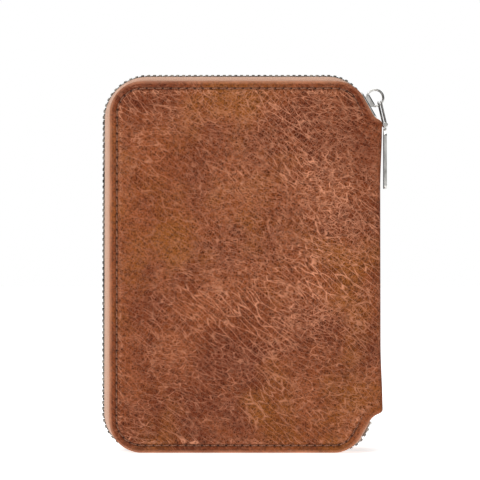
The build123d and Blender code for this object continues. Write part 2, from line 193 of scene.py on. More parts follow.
class Pile:
    """Collects vertices and faces of many small pieces into one mesh."""

    def __init__(self):
        self.verts, self.faces, self.extra = [], [], {}
        self.count = 0

    def add(self, verts, faces, **attributes):
        verts = np.asarray(verts, float)
        self.verts.append(verts)
        self.faces += [tuple(i + self.count for i in f) for f in faces]
        self.count += len(verts)
        for key, values in attributes.items():
            self.extra.setdefault(key, []).append(np.broadcast_to(np.asarray(values, float), (len(verts),)))

    def finish(self, name, material, slot, smooth=True):
        extra = {k: np.concatenate(v) for k, v in self.extra.items()}
        return build(name, np.concatenate(self.verts), self.faces, material, smooth, extra)


def strip_faces(rows, columns, close=False):
    """Quads over a grid of rows x columns vertices; close joins the last column to the first."""
    last = columns if close else columns - 1
    return [(r * columns + c, (r + 1) * columns + c, (r + 1) * columns + (c + 1) % columns,
             r * columns + (c + 1) % columns) for r in range(rows - 1) for c in range(last)]


def mirrored(verts, faces, back):
    """The back's copy of front geometry."""
    if not back:
        return verts, faces
    return np.asarray(verts) * (1, -1, 1), [tuple(reversed(f)) for f in faces]


# Materials

class Shade:
    """A small builder for node materials."""

    def __init__(self, name):
        self.material = bpy.data.materials.new(name)
        self.material.use_nodes = True
        self.tree = self.material.node_tree
        self.tree.nodes.clear()
        self.out = self.add("ShaderNodeOutputMaterial")
        self.bsdf = self.add("ShaderNodeBsdfPrincipled")
        self.link(self.bsdf.outputs[0], self.out.inputs[0])
        self.object = self.add("ShaderNodeTexCoord").outputs["Object"]

    def add(self, kind, **settings):
        node = self.tree.nodes.new(kind)
        for key, value in settings.items():
            setattr(node, key, value)
        return node

    def link(self, a, b):
        self.tree.links.new(a, b)

    def put(self, socket, value):
        if isinstance(value, bpy.types.NodeSocket):
            self.link(value, socket)
        elif isinstance(value, (tuple, list)) and len(value) == 3 and socket.type == "RGBA":
            socket.default_value = (*value, 1)
        else:
            socket.default_value = value

    def math(self, operation, a, b=0.0, c=None, clamp=False):
        node = self.add("ShaderNodeMath", operation=operation, use_clamp=clamp)
        self.put(node.inputs[0], a)
        self.put(node.inputs[1], b)
        if c is not None:
            self.put(node.inputs[2], c)
        return node.outputs[0]

    def pushed(self, place, push, amount):
        """place moved by a colour noise, this far in metres."""
        node = self.add("ShaderNodeVectorMath", operation="MULTIPLY_ADD")
        self.put(node.inputs[0], push)
        node.inputs[1].default_value = (amount,) * 3
        self.put(node.inputs[2], place)
        return node.outputs[0]

    def mapped(self, source, scale=(1, 1, 1), rotation=(0, 0, 0), location=(0, 0, 0)):
        node = self.add("ShaderNodeMapping")
        self.put(node.inputs["Vector"], source)
        node.inputs["Scale"].default_value = scale
        node.inputs["Rotation"].default_value = [math.radians(r) for r in rotation]
        node.inputs["Location"].default_value = location
        return node.outputs[0]

    def noise(self, source, scale, detail=3.0, roughness=0.5, distortion=0.0, colour=False):
        node = self.add("ShaderNodeTexNoise")
        self.put(node.inputs["Vector"], source)
        node.inputs["Scale"].default_value = scale
        node.inputs["Detail"].default_value = detail
        node.inputs["Roughness"].default_value = roughness
        node.inputs["Distortion"].default_value = distortion
        return node.outputs["Color" if colour else "Fac"]

    def cells(self, source, scale):
        """Distance to the nearest edge between cells."""
        node = self.add("ShaderNodeTexVoronoi", feature="DISTANCE_TO_EDGE")
        self.put(node.inputs["Vector"], source)
        node.inputs["Scale"].default_value = scale
        return node.outputs["Distance"]

    def wave(self, source, scale, distortion=0.0, direction="X"):
        node = self.add("ShaderNodeTexWave", wave_profile="SIN")
        node.bands_direction = direction
        self.put(node.inputs["Vector"], source)
        node.inputs["Scale"].default_value = scale
        node.inputs["Distortion"].default_value = distortion
        return node.outputs["Fac"]

    def range(self, value, a, b, c=0.0, d=1.0):
        """value taken from a..b to c..d with soft ends."""
        node = self.add("ShaderNodeMapRange", clamp=True)
        node.interpolation_type = "SMOOTHSTEP"
        for socket, v in zip(node.inputs, (value, a, b, c, d)):
            self.put(socket, v)
        return node.outputs[0]

    def mix(self, share, a, b):
        node = self.add("ShaderNodeMix", data_type="RGBA")
        self.put(node.inputs[0], share)
        self.put(node.inputs[6], a)
        self.put(node.inputs[7], b)
        return node.outputs[2]

    def attribute(self, name):
        return self.add("ShaderNodeAttribute", attribute_name=name).outputs["Fac"]

    def combine(self, x, y):
        node = self.add("ShaderNodeCombineXYZ")
        for socket, v in zip(node.inputs, (x, y)):
            self.put(socket, v)
        return node.outputs[0]

    def bump(self, height, distance, strength):
        node = self.add("ShaderNodeBump")
        node.inputs["Strength"].default_value = strength
        node.inputs["Distance"].default_value = distance
        self.put(node.inputs["Height"], height)
        return node.outputs[0]

    def done(self, colour, roughness, normal=None, **constants):
        """Plugs everything in; constants are set on the shader's own sockets."""
        self.put(self.bsdf.inputs["Base Color"], colour)
        self.put(self.bsdf.inputs["Roughness"], roughness)
        if normal is not None:
            self.link(normal, self.bsdf.inputs["Normal"])
        for key, value in constants.items():
            self.bsdf.inputs[key.replace("_", " ")].default_value = value
        return self.material


def srgb(r, g, b):
    """A display colour, 0 to 255, as the linear values a shader takes."""
    return tuple((v / 255 / 12.92) if v <= 10 else ((v / 255 + 0.055) / 1.055) ** 2.4 for v in (r, g, b))


def cover_leather():
    """Waxed pull-up leather: mottled brown, crossed by paler creases that run in slanting bundles."""
    m = Shade("cover_leather")
    place = m.pushed(m.object, m.noise(m.object, 260, 2, colour=True), 0.0011)
    place = m.pushed(place, m.noise(m.object, 45, 1, colour=True), 0.0055)

    def creases(angle, scale, stretch, width, offset):
        turned = m.mapped(place, rotation=(0, angle, 0), location=offset)
        long = m.mapped(turned, scale=(1, 1, stretch))
        return m.range(m.cells(long, scale), 0.0, width, 1.0, 0.0)

    def patches(scale, low, high, offset):
        return m.range(m.noise(m.mapped(m.object, location=offset), scale, 2), low, high)

    worked = patches(24, 0.40, 0.58, (0.6, 0.2, 1.3))
    bundle_a = patches(42, 0.42, 0.56, (0.31, 0.2, 0.7))
    bundle_b = patches(46, 0.42, 0.56, (0.83, 0.1, 0.2))
    down = creases(50, 470, 0.17, 0.085, (0.1, 0.0, 0.3))
    up = creases(-46, 640, 0.32, 0.075, (0.5, 0.2, 0.1))
    flat = creases(76, 560, 0.30, 0.075, (0.9, 0.4, 0.6))
    net = creases(15, 1150, 0.7, 0.12, (0.2, 0.7, 0.8))
    lines = m.math("MULTIPLY", down, m.math("MULTIPLY_ADD", bundle_a, 0.55, 0.45))
    lines = m.math("MAXIMUM", lines, m.math("MULTIPLY", up, m.math("MULTIPLY", bundle_b, 0.8)))
    lines = m.math("MAXIMUM", lines, m.math("MULTIPLY", flat, m.math("SUBTRACT", 1.0, bundle_a)))
    lines = m.math("MULTIPLY", lines, m.math("MULTIPLY_ADD", worked, 0.45, 0.55))
    lines = m.math("MAXIMUM", lines, m.math("MULTIPLY", net, 0.42))
    broken = m.range(m.noise(m.object, 420, 3, 0.6), 0.34, 0.60)
    lines = m.math("MULTIPLY", lines, m.math("MULTIPLY_ADD", broken, 0.65, 0.35))
    calm = m.attribute("calm")
    lines = m.math("MULTIPLY", lines, m.math("SUBTRACT", 1.0, m.math("MULTIPLY", calm, 0.72)))

    mottle = m.range(m.noise(m.object, 34, 5, 0.62, 0.4), 0.36, 0.66)
    amber = m.range(m.noise(m.mapped(m.object, location=(2.1, 0.4, 1.7)), 26, 4, 0.6), 0.48, 0.68)
    colour = m.mix(mottle, srgb(106, 42, 15), srgb(145, 75, 38))
    colour = m.mix(amber, colour, srgb(144, 80, 28))
    pores = m.range(m.noise(m.object, 1300, 3, 0.7), 0.36, 0.58)
    weight = m.math("MULTIPLY_ADD", calm, -0.12, 0.78)
    colour = m.mix(m.math("MULTIPLY", m.math("SUBTRACT", 1.0, pores), weight), colour, srgb(46, 10, 0))
    colour = m.mix(lines, colour, srgb(226, 154, 118))
    # painted highlight: the leather is painted lighter along its free edge, over the bead and round the
    # turn, in patches
    colour = m.mix(m.math("MULTIPLY", m.attribute("edge"), 0.62), colour, srgb(228, 162, 126))
    # painted shade: the stitch groove is darkened along its length, most at each needle hole
    colour = m.mix(m.attribute("hole"), colour, srgb(40, 18, 10))

    grain = m.math("MULTIPLY_ADD", lines, 0.55, m.math("MULTIPLY", pores, 0.35))
    normal = m.bump(grain, 0.00022, 0.75)
    rough = m.math("MULTIPLY_ADD", mottle, 0.08, m.math("MULTIPLY_ADD", lines, -0.10, 0.50))
    return m.done(colour, rough, normal, Specular_IOR_Level=0.10)


def inner_leather(name, dark, light):
    """Smooth thin leather with a fine pebble."""
    m = Shade(name)
    pebble = m.cells(m.object, 1400)
    fine = m.noise(m.object, 700, 3, 0.6)
    broad = m.noise(m.object, 60, 3)
    colour = m.mix(m.range(broad, 0.35, 0.65), dark, light)
    colour = m.mix(m.range(pebble, 0.0, 0.12, 0.35, 0.0), colour, tuple(c * 0.45 for c in dark))
    height = m.math("ADD", m.range(pebble, 0.0, 0.25), m.math("MULTIPLY", fine, 0.4))
    return m.done(colour, m.range(fine, 0.3, 0.7, 0.46, 0.60), m.bump(height, 0.00010, 0.6),
                  Specular_IOR_Level=0.4)


def woven(name, dark, light, thread):
    """Plain cloth laid over the flat faces, with this distance in metres between threads."""
    m = Shade(name)
    warp = m.wave(m.object, 1 / thread / 2, 0.6, "X")
    weft = m.wave(m.object, 1 / thread / 2, 0.6, "Z")
    weave = m.math("MULTIPLY", warp, weft)
    broad = m.noise(m.object, 90, 3)
    colour = m.mix(m.math("MULTIPLY_ADD", weave, 0.7, m.math("MULTIPLY", broad, 0.3)), dark, light)
    return m.done(colour, 0.82, m.bump(weave, 0.00012, 0.7), Specular_IOR_Level=0.25, Sheen_Weight=0.25)


def tape_cloth():
    """Zip tape: a fine herringbone weave."""
    m = Shade("zip_tape")
    along = m.attribute("along")
    across = m.attribute("across")
    place = m.combine(along, across)
    fold = m.math("PINGPONG", across, 0.9)
    slant = m.math("ADD", along, m.math("MULTIPLY", fold, 0.9))
    rib = m.math("SINE", m.math("MULTIPLY", slant, 9.5))
    thread = m.math("SINE", m.math("MULTIPLY", across, 14.0))
    weave = m.math("MULTIPLY_ADD", rib, 0.35, m.math("MULTIPLY", thread, 0.2))
    fuzz = m.noise(place, 3.0, 4, 0.6)
    tone = m.math("MULTIPLY_ADD", weave, 0.7, m.math("MULTIPLY_ADD", fuzz, 0.8, 0.1), clamp=True)
    colour = m.mix(tone, srgb(164, 112, 86), srgb(244, 200, 172))
    return m.done(colour, 0.85, m.bump(weave, 0.00018, 0.8), Specular_IOR_Level=0.25, Sheen_Weight=0.2)


def thread_material():
    """Waxed thread with a visible twist."""
    m = Shade("thread")
    twist = m.math("SINE", m.math("ADD", m.math("MULTIPLY", m.attribute("along"), 9.0),
                                  m.math("MULTIPLY", m.attribute("around"), 2 * math.pi)))
    tone = m.math("MULTIPLY_ADD", twist, 0.3, m.math("MULTIPLY", m.noise(m.object, 800, 2), 0.9), clamp=True)
    colour = m.mix(tone, srgb(70, 32, 18), srgb(196, 136, 104))
    return m.done(colour, 0.5, m.bump(twist, 0.00012, 0.6), Specular_IOR_Level=0.3)


def metal(name, dark, light, rough):
    """Nickel plate with faint scuffs."""
    m = Shade(name)
    smear = m.noise(m.mapped(m.object, scale=(1, 1, 0.3)), 500, 4, 0.6)
    specks = m.range(m.noise(m.object, 2600, 2), 0.35, 0.65)
    colour = m.mix(m.range(smear, 0.3, 0.7), dark, light)
    roughness = m.math("MULTIPLY_ADD", smear, 0.16, rough)
    height = m.math("MULTIPLY_ADD", specks, 0.3, smear)
    return m.done(colour, roughness, m.bump(height, 0.00003, 0.35), Metallic=1.0)


def card_board():
    """Grey board with short fibres."""
    m = Shade("board")
    fibre = m.noise(m.mapped(m.object, scale=(1, 1, 3)), 700, 4, 0.65)
    colour = m.mix(m.range(fibre, 0.3, 0.7), srgb(150, 140, 124), srgb(186, 176, 158))
    return m.done(colour, 0.9, m.bump(fibre, 0.0001, 0.5))


def hole_shade_material():
    """Painted shade: a dark disc for the shaded inside of a needle's hole."""
    m = Shade("stitch_hole_shade")
    tone = m.noise(m.object, 900, 2)
    return m.done(m.mix(tone, srgb(30, 14, 8), srgb(58, 28, 18)), 0.8)


LEATHER = cover_leather()
POCKET = inner_leather("pocket_leather", srgb(112, 64, 42), srgb(136, 82, 56))
LINING = woven("lining", srgb(62, 44, 34), srgb(104, 78, 60), 0.0007)
TAPE = tape_cloth()
THREAD = thread_material()
TEETH = metal("zip_teeth", srgb(70, 66, 62), srgb(160, 152, 142), 0.20)
NICKEL = metal("nickel", srgb(150, 148, 144), srgb(216, 214, 210), 0.07)
BOARD = card_board()
# painted shade in the needle holes
HOLE_SHADE = hole_shade_material()


# The hide

def puff(s, z, edge_distance):
    """How far the leather stands out from flat: slow swells that fade out towards the free edge and the
    fold.
    """
    flat = smoothstep(0, 9, edge_distance) * (1 - smoothstep(98, 104, s))
    points = np.stack([s, z], axis=1)
    swell = 0.20 * noise_at(points, 31.0, 0.3) + 0.10 * noise_at(points, 13.0, 4.1)
    swell += 0.035 * noise_at(points, 5.0, 8.7)
    return swell * flat


def spine_share(s):
    """0 on the covers' thick turned edge, 1 on the spine's single thickness."""
    return smoothstep(100.5, 105.0, s)


def inner_depth(s):
    return RIM * (1 - spine_share(s)) + SKIN * spine_share(s)


def rim_rings(outline, groove):
    """Rings from the face, over the bead and down to the inside.

    Each is (distance inside the free edge, depth, distance inside it seen from the face, share of the
    painted highlight along the edge).
    """
    share = spine_share(outline[:, 0])
    same = np.ones(len(outline))
    rings = [(same * d, groove * part, d, 1.0) for d, part in (
        (RIM_WIDTH, 0.0), (4.1, 0.05), (3.7, 0.25), (3.35, 0.75), (STITCH_INSET, 1.0),
        (2.65, 0.75), (2.35, 0.25), (2.05, 0.0))]
    rings += [(same * d, VALLEY * part * (1 - share), d, 1.0) for d, part in (
        (1.8, 0.15), (1.6, 0.7), (1.45, 1.0), (1.3, 0.7), (1.15, 0.2))]
    bead = BEAD * (1 - share) + SPINE_BEAD * share
    for a in np.radians(range(0, 91, 15)):
        rings.append((bead * (1 - math.sin(a)), bead * (1 - math.cos(a)), BEAD * (1 - math.sin(a)), 1.0))
    deep = inner_depth(outline[:, 0])
    # the turned-under rings take a weaker share of the painted edge highlight
    for a in np.radians(range(0, 91, 30)):
        rings.append((same * TURN_R * (1 - math.cos(a)), deep - TURN_R * (1 - math.sin(a)), 0.0,
                      0.35 if a else 1.0))
    return rings + [(same * d, deep, 0.0, 0.35) for d in (1.4, 3.0, RIM_WIDTH)]


def to_spine(ring):
    """The ring with both ends on the middle of the spine, where the two halves meet."""
    ring[0, 0] = ring[-1, 0] = SPINE_S
    return ring


def clear_of(points, ring, gap):
    """Which points lie inside the ring and at least gap away from it."""
    keep = np.zeros(len(points), bool)
    for z in np.unique(points[:, 1]):
        here = np.where(points[:, 1] == z)[0]
        close = ring[np.abs(ring[:, 1] - z) < 0.9]
        left, right = close[close[:, 0] < 60], close[close[:, 0] >= 60]
        low = left[:, 0].max() + gap if len(left) else 0
        high = right[:, 0].min() - gap if len(right) else SPINE_S - 0.4
        along_edge = len(left) and left[:, 0].max() > 50
        keep[here] = (points[here, 0] > low) & (points[here, 0] < high) & (not along_edge)
    return keep


def sheet_inside(ring):
    """The hide inside the rim: flat points, triangles, and each point's number in the ring, or -1."""
    seam_z = np.arange(ring[-1, 1] + GRID, ring[0, 1] - GRID / 2, GRID)
    loop = np.concatenate([ring, np.stack([np.full(len(seam_z), SPINE_S), seam_z], axis=1)])
    over_fold = np.arange(103, 111, 0.35)
    start = RIM_WIDTH + GRID
    columns = np.concatenate([np.arange(start, 103, GRID), over_fold, np.arange(111, SPINE_S - 0.4, GRID)])
    grid = np.array([(s, z) for s in columns for z in np.arange(start, HEIGHT - RIM_WIDTH, GRID)])
    points = np.concatenate([loop, grid[clear_of(grid, ring, 0.55)]])
    edges = [(i, (i + 1) % len(loop)) for i in range(len(loop))]
    made, _, triangles, origin, _, _ = delaunay_2d_cdt([Vector(p) for p in points], edges, [], 1, 1e-5)
    ring_of = [o[0] if o and o[0] < len(ring) else -1 for o in origin]
    return np.array([tuple(v) for v in made]), triangles, ring_of


def hide_half(back):
    """One cover's leather with its turned edges, its fold and its half of the spine, in one skin."""
    outline = skin_outline()
    count = len(outline)
    stitch_line = inset(outline, STITCH_INSET)
    phase = (lengths(stitch_line) - lengths(stitch_line)[-1] / 2) / STITCH_PITCH
    pits = 0.5 + 0.5 * np.cos(2 * math.pi * (phase - 0.5))
    sewn = 1 - smoothstep(101.0, 103.0, outline[:, 0])
    rings = rim_rings(outline, sewn * (0.30 + 0.25 * pits ** 2))
    lift = puff(stitch_line[:, 0], stitch_line[:, 1], np.full(count, RIM_WIDTH))
    # painted highlight: patchy strength of the lighter paint along the edge bead
    highlight_patches = 0.55 + 0.45 * noise_at(outline, 9.0, 2.2)

    verts, calm, edge, hole = [], [], [], []
    for distance, depth, seen, highlight_share in rings:
        ring = to_spine(inset(outline, distance))
        verts.append(on_skin(ring[:, 0], ring[:, 1], depth - lift * smoothstep(0.0, RIM_WIDTH, seen)))
        near = np.clip(1 - abs(seen - STITCH_INSET) / 0.5, 0, 1)
        # painted shade in the stitch groove, deepest at the needle holes
        hole.append(near * sewn * (0.35 + 0.65 * pits ** 4))
        calm.append(np.full(count, float(1 - smoothstep(2.2, 5.0, seen))))
        # painted highlight along the edge bead, fading inward from the free edge
        edge.append(highlight_patches * (1 - smoothstep(0.2, 1.7, seen)) * highlight_share)
    faces = strip_faces(len(rings), count)

    plane, triangles, ring_of = sheet_inside(to_spine(inset(outline, RIM_WIDTH)))
    s, z = plane.T
    from_edge = np.minimum(np.abs(s), np.minimum(z, HEIGHT - z))
    raised = puff(s, z, from_edge)
    raised[np.array(ring_of) >= 0] = [lift[r] for r in ring_of if r >= 0]
    start, extra = len(rings) * count, len(plane)
    verts += [on_skin(s, z, -raised), on_skin(s, z, inner_depth(s))]
    outer = [r if r >= 0 else start + k for k, r in enumerate(ring_of)]
    inner = [start - count + r if r >= 0 else start + extra + k for k, r in enumerate(ring_of)]
    faces += [tuple(outer[i] for i in t) for t in triangles]
    faces += [tuple(inner[i] for i in reversed(t)) for t in triangles if min(s[i] for i in t) > 97]

    from_creased = np.hypot(s - 68, (z - 94) / 1.3)
    calm += [np.maximum(1 - smoothstep(4.0, 7.0, from_edge), 0.62 * smoothstep(22, 50, from_creased)),
             np.full(extra, 0.6)]
    edge.append(np.zeros(2 * extra))
    hole.append(np.zeros(2 * extra))

    verts, faces = mirrored(np.concatenate(verts), faces, back)
    side, sign = ("back", 1) if back else ("front", -1)
    obj = build(f"{side}_cover_hide", verts, faces, LEATHER, attributes={
        "calm": np.concatenate(calm), "edge": np.concatenate(edge), "hole": np.concatenate(hole)})
    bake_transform(obj)
    return obj


def stitch_tube(start, end, side_way, out, lift, sink, radius, segments=8, sides=8):
    """One stitch between two holes: a thread that rises out of one, lies on the leather and dives again."""
    verts, along, around = [], [], []
    axis = end - start
    length = np.linalg.norm(axis)
    axis = axis / length
    for i in range(segments + 1):
        t = i / segments
        rise = math.sin(math.pi * t) ** 0.5 if 0 < t < 1 else 0.0
        centre = start + axis * length * t + out * (lift * rise - sink * (1 - rise))
        thick = radius * (0.72 + 0.28 * rise)
        for k in range(sides):
            a = 2 * math.pi * k / sides
            verts.append(centre + side_way * math.cos(a) * thick + out * math.sin(a) * thick * 0.85)
            along.append(length * t)
            around.append(k / sides)
    return verts, strip_faces(segments + 1, sides, close=True), along, around


def disc(centre, a, b, out, radius, dome, sides=10):
    """A round cap in the plane of a and b, its middle raised by dome."""
    verts = [centre + out * dome] + [centre + a * math.cos(t) * radius + b * math.sin(t) * radius
                                     for t in np.linspace(0, 2 * math.pi, sides, endpoint=False)]
    return verts, [(0, 1 + k, 1 + (k + 1) % sides) for k in range(sides)]


def cover_stitches(back):
    """The row of stitches 3 mm inside a cover's free edge, with dark discs of painted shade in the needle's
    holes.
    """
    outline = skin_outline()
    line = inset(outline, STITCH_INSET)
    run = lengths(line)
    half = run[-1] / 2
    threads, holes = Pile(), Pile()
    out = np.array([0.0, -1.0, 0.0])
    tangent = tangents(line)
    span = int(half / STITCH_PITCH)
    lift_at = puff(line[:, 0], line[:, 1], np.full(len(line), RIM_WIDTH)) * 0.65

    def spot(place):
        """Point on the leather, direction along the row and across it, and s."""
        p = np.array([np.interp(place, run, line[:, k]) for k in range(2)])
        t = np.array([np.interp(place, run, tangent[:, k]) for k in range(2)])
        t /= np.linalg.norm(t)
        lift = np.interp(place, run, lift_at)
        return (np.array([p[0] + FORE, -HALF - lift, p[1]]), np.array([t[0], 0, t[1]]),
                np.array([-t[1], 0, t[0]]), p[0])

    for k in range(-span, span + 1):
        middle = half + k * STITCH_PITCH
        if not 0 < middle < run[-1]:
            continue
        _, t, side, s = spot(middle)
        if s > SEWN_END:
            continue
        a, b = spot(middle - STITCH_PITCH / 2 + 0.28)[0], spot(middle + STITCH_PITCH / 2 - 0.28)[0]
        slant = 0.13 + RNG.uniform(-0.03, 0.03)
        verts, faces, along, around = stitch_tube(a - side * slant, b + side * slant, side, out,
                                                  RNG.uniform(-0.10, -0.03), 0.48, 0.22)
        verts, faces = mirrored(verts, faces, back)
        threads.add(verts, faces, along=along, around=around)
        hole, _, _, s = spot(middle + STITCH_PITCH / 2)
        if s < SEWN_END + 0.7:
            # painted shade: a dark disc sunk into each needle hole
            verts, faces = disc(hole - out * 0.36, t, side, out, 0.40, -0.25)
            holes.add(*mirrored(verts, faces, back))
    name = "back" if back else "front"
    obj = threads.finish(f"{name}_cover_thread", THREAD, "thread")
    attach(obj, f"{name}_cover")
    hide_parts(f"{name}_stitching")
    pricks = holes.finish(f"{name}_needle_hole_shade", HOLE_SHADE, "thread")
    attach(pricks, f"{name}_cover")


# The zip

def chain_path(step=0.3):
    """The middle of the teeth: down from the slider, over the top, round the fore edge and back below."""
    down = np.array([math.cos(SLOPE), -math.sin(SLOPE)])

    def slope_u(proud, level):
        return SLOPE_U + (proud - (SLOPE_DROP - level) * math.cos(SLOPE)) / math.sin(SLOPE)

    nose = np.array([slope_u(SLOPE_PROUD, -PROUD), HEIGHT + PROUD])
    slider = nose + down * ((NOSE_R + PROUD) * math.tan(SLOPE / 2) + SLIDER_REST)
    heel_level = SLOPE_DROP + ((HEEL_U - SLOPE_U) * math.sin(SLOPE) - HEEL_PROUD) / math.cos(SLOPE)
    corners = [slider + down * CHAIN_START, nose, (-PROUD, HEIGHT + PROUD), (-PROUD, -FOOT_PROUD),
               (slope_u(HEEL_PROUD, -FOOT_PROUD), -FOOT_PROUD), (HEEL_U, heel_level)]
    return rounded(corners, [NOSE_R + PROUD, 17.0, 14.0, 10.0], step)


CHAIN = chain_path()
RUN = lengths(CHAIN)
HEADING = tangents(CHAIN)
OUT = np.stack([HEADING[:, 1], -HEADING[:, 0]], axis=1)
COVER_START = TOP_LENGTH + END_GAP
COVER_END = RUN[-1] - LOW_LENGTH - END_GAP


def on_chain(place):
    """Place, heading and outward direction at this length along the chain."""
    point = np.array([np.interp(place, RUN, CHAIN[:, k]) for k in range(2)])
    t = np.array([np.interp(place, RUN, HEADING[:, k]) for k in range(2)])
    t /= np.linalg.norm(t)
    return (np.array([point[0] + FORE, 0, point[1]]), np.array([t[0], 0, t[1]]), np.array([t[1], 0, -t[0]]))


def tape_section():
    """(outward, y, run across) round the tape: a band beside the teeth, bent into the seam."""
    flange = SEAM_Y - TAPE_HALF
    middle = [(0.0, ROOT - 0.5), (0.0, ROOT), (0.0, 5.1), (-TAPE_FALL, flange - TAPE_BEND)]
    for a in np.radians(range(18, 91, 18)):
        middle.append((-TAPE_FALL - TAPE_BEND * (1 - math.cos(a)),
                       flange - TAPE_BEND + TAPE_BEND * math.sin(a)))
    middle += [(-4.5, flange), (-7.0, flange), (-9.6, flange)]
    middle = resampled(np.array(middle), 0.45)
    t = tangents(middle)
    side = np.stack([t[:, 1], -t[:, 0]], axis=1) * TAPE_HALF
    across = lengths(middle)
    ring = np.concatenate([middle + side, (middle - side)[::-1]])
    return ring, np.concatenate([across, across[::-1] + 20])


def tape_sweep(start, end, least=0.0, most=HALF):
    """One tape between two lengths along the chain and between two distances from the middle plane."""
    ring, across = tape_section()
    keep = (ring[:, 1] > least) & (ring[:, 1] < most)
    ring, across = ring[keep], across[keep]
    rows = max(3, int((end - start) / 0.45))
    verts, along = [], []
    for place in np.linspace(start, end, rows + 1):
        point, _, out = on_chain(place)
        ripple = 0.04 * math.sin(2 * math.pi * place / PITCH)
        for n, y in ring:
            lift = ripple if 2.4 < y < 4.2 and n > 0 else 0.0
            verts.append(point + out * (n + lift) + np.array([0, -y, 0]))
            along.append(place)
    count = len(ring)
    faces = strip_faces(rows + 1, count, close=True)
    faces += [tuple(range(count)), tuple(range(rows * count, (rows + 1) * count))[::-1]]
    return verts, faces, along, np.tile(across, rows + 1)


def end_tongue(pile, place, edge, inward):
    """A strip of tape from the zip's end to the inner face of the spine's lining."""
    half_width, overlap = 4.6, 9.0
    point, _, out = on_chain(place)
    start = (point - out * 0.6)[[0, 2]]
    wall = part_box("spine_lining")[0].x / MM - 0.3
    path = rounded([start, (wall, edge + inward * 0.5), (wall, edge + inward * overlap)], [2.0], 0.4)
    verts = []
    for (x, z), (tx, tz) in zip(path, tangents(path)):
        for y, n in ((-1, -1), (1, -1), (1, 1), (-1, 1)):
            verts.append((x - tz * n * TAPE_HALF, y * half_width, z + tx * n * TAPE_HALF))
    rows = len(path)
    faces = strip_faces(rows, 4, close=True)
    faces += [(0, 1, 2, 3), tuple(range(rows * 4 - 4, rows * 4))[::-1]]
    pile.add(verts, faces, along=np.repeat(lengths(path), 4),
             across=np.tile([0, 2 * half_width, 2 * half_width, 0], rows))


def add_tape(pile, back, start, end, **limits):
    verts, faces, along, across = tape_sweep(start, end, **limits)
    verts, faces = mirrored(verts, faces, back)
    pile.add(verts, faces, along=along, across=across)


def finish_tape(pile, name, body, replaced):
    obj = pile.finish(name, TAPE, "zip_tape")
    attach(obj, body)
    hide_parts(replaced)


def cover_tape(back):
    """A cover's tape, with narrow strips that carry its outer part on past both ends."""
    side = "back" if back else "front"
    pile = Pile()
    add_tape(pile, back, 0.05, COVER_START, least=SIDE_Y)
    add_tape(pile, back, COVER_END, RUN[-1] - 0.05, least=SIDE_Y)
    add_tape(pile, back, COVER_START, COVER_END)
    finish_tape(pile, f"{side}_tape", f"{side}_cover", f"{side}_zip_tape")


def end_tapes(name, start, end, tongue, replaced):
    """Both tapes at one end of the zip, which the spine carries."""
    pile = Pile()
    end_tongue(pile, *tongue)
    for back in (False, True):
        add_tape(pile, back, start, end, most=SLOT_Y)
    finish_tape(pile, name, "spine", replaced)


def tooth_shape():
    """One cast tooth: local x along the chain, y from the middle to the root, z outward."""
    outline = [(0.0, -0.86), (0.26, -0.80), (0.42, -0.58), (0.46, -0.25), (0.40, 0.15), (0.30, 0.55),
               (0.34, 0.95), (0.58, 1.25), (0.68, 1.55), (0.68, 2.55), (0.55, 2.85), (0.0, 2.9)]
    outline += [(-x, y) for x, y in outline[-2:0:-1]]
    outline = np.array(outline)
    centre = np.array([0, 1.0])
    verts = []
    levels = [(-1.14, 0.70), (-1.08, 0.88), (-0.92, 1.0), (1.10, 1.0), (1.28, 0.88), (1.36, 0.70)]
    for z, share in levels:
        squeeze = np.array([share, 1 - (1 - share) * 0.35])
        for p in centre + (outline - centre) * squeeze:
            dip = 0.20 * math.exp(-((p[1] + 0.2) / 0.45) ** 2) * (1 if z > 0 else -1)
            verts.append((p[0], p[1], z - dip * (abs(z) > 1)))
    n = len(outline)
    faces = strip_faces(len(levels), n, close=True)
    faces += [tuple(range(n)), tuple(range((len(levels) - 1) * n, len(levels) * n))[::-1]]
    return np.array(verts), faces


TOOTH = tooth_shape()


def add_teeth(pile, side, start, end):
    """The teeth of one side, 1 for the front and -1 for the back, between two lengths along the chain."""
    verts, faces = TOOTH
    first = PITCH if side > 0 else PITCH / 2
    for i in range(int(RUN[-1] / PITCH)):
        place = first + i * PITCH
        if not start + 0.7 <= place <= end - 0.7:
            continue
        point, heading, out = on_chain(place)
        placed = (point + verts[:, :1] * heading + verts[:, 1:2] * np.array([0, -side, 0.0])
                  + verts[:, 2:] * out)
        pile.add(placed, faces if side < 0 else [f[::-1] for f in faces])


def teeth_piece(name, body, sides, start, end, replaced):
    pile = Pile()
    for side in sides:
        add_teeth(pile, side, start, end)
    obj = pile.finish(name, TEETH, "zip_teeth", smooth=False)
    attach(obj, body)
    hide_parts(replaced)


def zip_pieces():
    foot = RUN[-1] - LOW_LENGTH
    cover_tape(False)
    cover_tape(True)
    end_tapes("top_tapes", 0.05, TOP_LENGTH, (0.1, HEIGHT - SPINE_DROP, -1), "top_end_tapes")
    end_tapes("low_tapes", foot, RUN[-1] - 0.05, (RUN[-1] - 0.1, SPINE_DROP, 1), "bottom_end_tapes")
    teeth_piece("front_chain", "front_cover", [1], COVER_START, COVER_END, "front_teeth")
    teeth_piece("back_chain", "back_cover", [-1], COVER_START, COVER_END, "back_teeth")
    teeth_piece("top_chain", "spine", [1, -1], 4.0, 12.0, "top_end_teeth")
    teeth_piece("low_chain", "spine", [1, -1], foot, RUN[-1] - 2.2, "bottom_end_teeth")


# The pull

def tube(path, radius, sides=10):
    """A round wire along a 3D path."""
    path = np.asarray(path, float)
    heading = tangents(path)
    side = np.cross(heading[0], (0.31, 0.22, 0.93))
    verts = []
    for point, t in zip(path, heading):
        side = side - t * (side @ t)
        side /= np.linalg.norm(side)
        other = np.cross(t, side)
        verts += [point + radius * (math.cos(a) * side + math.sin(a) * other)
                  for a in np.linspace(0, 2 * math.pi, sides, endpoint=False)]
    faces = strip_faces(len(path), sides, close=True)
    faces += [tuple(range(sides)), tuple(range((len(path) - 1) * sides, len(path) * sides))[::-1]]
    return np.array(verts), faces


